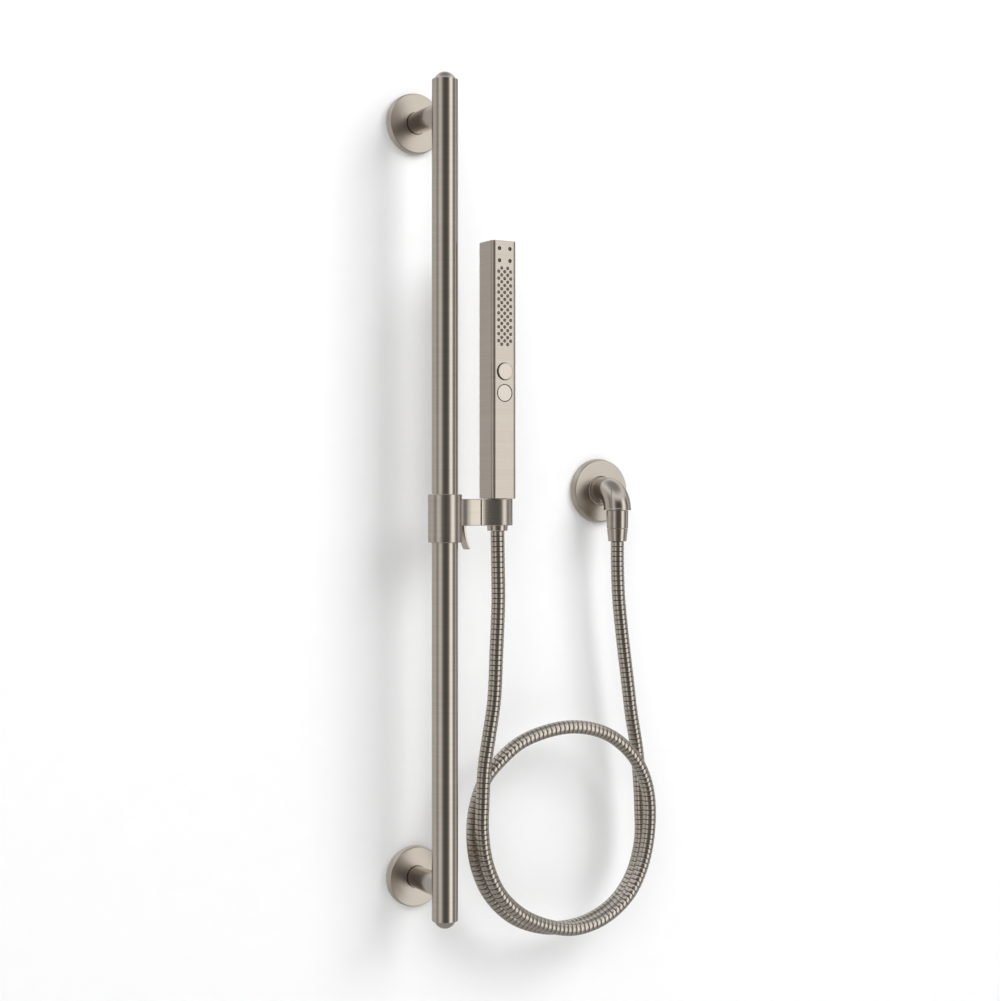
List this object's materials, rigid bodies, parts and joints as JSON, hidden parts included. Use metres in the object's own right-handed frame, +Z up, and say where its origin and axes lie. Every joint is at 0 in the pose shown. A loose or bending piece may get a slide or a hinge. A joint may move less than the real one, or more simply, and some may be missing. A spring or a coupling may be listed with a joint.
{
  "type": "hand shower set on a slide bar",
  "caption": "Square hand shower in a tilting cradle on a wall slide bar, with a brake lever, a coiled metal hose and a supply elbow.",
  "frame": {"origin": "centre of the upper wall plate's back face, in the plane of the wall", "axes": "+Z up along the bar, +Y into the wall, +X to the right towards the hand shower and the elbow"},
  "size_m": [0.2919, 0.1103, 0.8717],
  "materials": {
    "satin_nickel": "satin brushed nickel over brass",
    "steel": "plain stainless steel",
    "brass": "machined",
    "white_plastic": "moulded acetal",
    "black_plastic": "moulded nylon",
    "silicone": "soft moulded silicone",
    "rubber": "matt rubber"
  },
  "bodies": {
    "wall_set": {"bar_tube": "satin_nickel", "upper_end_cap": "satin_nickel", "lower_end_cap": "satin_nickel", "upper_wall_plate": "steel", "upper_post": "satin_nickel", "upper_flange": "satin_nickel", "upper_post_bolt": "steel", "upper_set_screw": "steel", "upper_wall_screw_left": "steel", "upper_wall_screw_right": "steel", "lower_wall_plate": "steel", "lower_post": "satin_nickel", "lower_flange": "satin_nickel", "lower_post_bolt": "steel", "lower_set_screw": "steel", "lower_wall_screw_left": "steel", "lower_wall_screw_right": "steel", "elbow_flange": "satin_nickel", "elbow_body": "satin_nickel", "elbow_o_ring": "rubber", "elbow_check_valve": "white_plastic", "elbow_hose_nut": "satin_nickel", "elbow_washer": "rubber", "elbow_hose_end": "brass", "elbow_hose_sleeve": "satin_nickel", "hose": "satin_nickel"},
    "bush_sleeve": {"upper_bush": "white_plastic", "lower_bush": "white_plastic"},
    "bracket": {"bracket_body": "satin_nickel", "lever_pin": "steel", "lever_spring": "steel", "pivot_bolt": "steel", "pivot_washer": "black_plastic"},
    "lever": {"brake_lever": "satin_nickel"},
    "shoe": {"brake_shoe": "rubber"},
    "cradle": {"cradle": "satin_nickel", "cradle_insert": "black_plastic"},
    "hand_shower": {"hand_shell": "satin_nickel", "nozzle_pad": "silicone", "spray_chamber": "white_plastic", "button_carrier": "white_plastic", "upper_button_spring": "steel", "lower_button_spring": "steel", "rocker_pin": "steel", "water_tube": "white_plastic", "inlet_fitting": "brass", "filter_washer": "rubber", "hand_hose_end": "brass"},
    "hose_nut": {"hand_hose_nut": "satin_nickel"},
    "upper_button": {"upper_button": "satin_nickel"},
    "lower_button": {"lower_button": "satin_nickel"},
    "rocker": {"selector_rocker": "black_plastic"}
  },
  "joints": [
    {"name": "bracket_slide", "type": "slide", "parent": "wall_set", "child": "bush_sleeve", "axis": [0, 0, 1], "range_m": [-0.324, 0.36], "deforming": ["hose"]},
    {"name": "bracket_swivel", "type": "hinge", "parent": "bush_sleeve", "child": "bracket", "pos_m": [0, -0.0676, -0.3931], "axis": [0, 0, 1], "range_deg": [-90, 20], "deforming": ["hose"]},
    {"name": "lever_squeeze", "type": "hinge", "parent": "bracket", "child": "lever", "pos_m": [0.0212, -0.0676, -0.3995], "axis": [0, 1, 0], "range_deg": [0, 8], "stiffness_Nm_per_rad": 0.06, "springref_deg": -17.19, "deforming": ["lever_spring"]},
    {"name": "shoe_release", "type": "slide", "parent": "bracket", "child": "shoe", "axis": [1, 0, 0], "range_m": [0, 0.0005]},
    {"name": "cradle_tilt", "type": "hinge", "parent": "bracket", "child": "cradle", "pos_m": [0.0361, -0.0676, -0.3931], "axis": [1, 0, 0], "range_deg": [-5, 35], "deforming": ["hose"]},
    {"name": "hand_lift", "type": "slide", "parent": "cradle", "child": "hand_shower", "axis": [0, 0, 1], "range_m": [0, 0.045], "deforming": ["hose"]},
    {"name": "hose_nut_spin", "type": "hinge", "parent": "hand_shower", "child": "hose_nut", "pos_m": [0.0596, -0.0676, -0.3931], "axis": [0, 0, 1], "continuous": true},
    {"name": "upper_button_travel", "type": "slide", "parent": "hand_shower", "child": "upper_button", "axis": [0, -1, 0], "range_m": [-0.002, 0], "deforming": ["upper_button_spring"]},
    {"name": "lower_button_travel", "type": "slide", "parent": "hand_shower", "child": "lower_button", "axis": [0, -1, 0], "range_m": [0, 0.002], "deforming": ["lower_button_spring"]},
    {"name": "rocker_tilt", "type": "hinge", "parent": "hand_shower", "child": "rocker", "pos_m": [0.0596, -0.0644, -0.26405], "axis": [1, 0, 0], "range_deg": [-10.8, 0]}
  ],
  "couplings": [
    {"joint": "shoe_release", "follows": "lever_squeeze", "m_per_rad": 0.0035},
    {"joint": "lower_button_travel", "follows": "upper_button_travel", "ratio": -1},
    {"joint": "rocker_tilt", "follows": "upper_button_travel", "rad_per_m": 93.5}
  ]
}
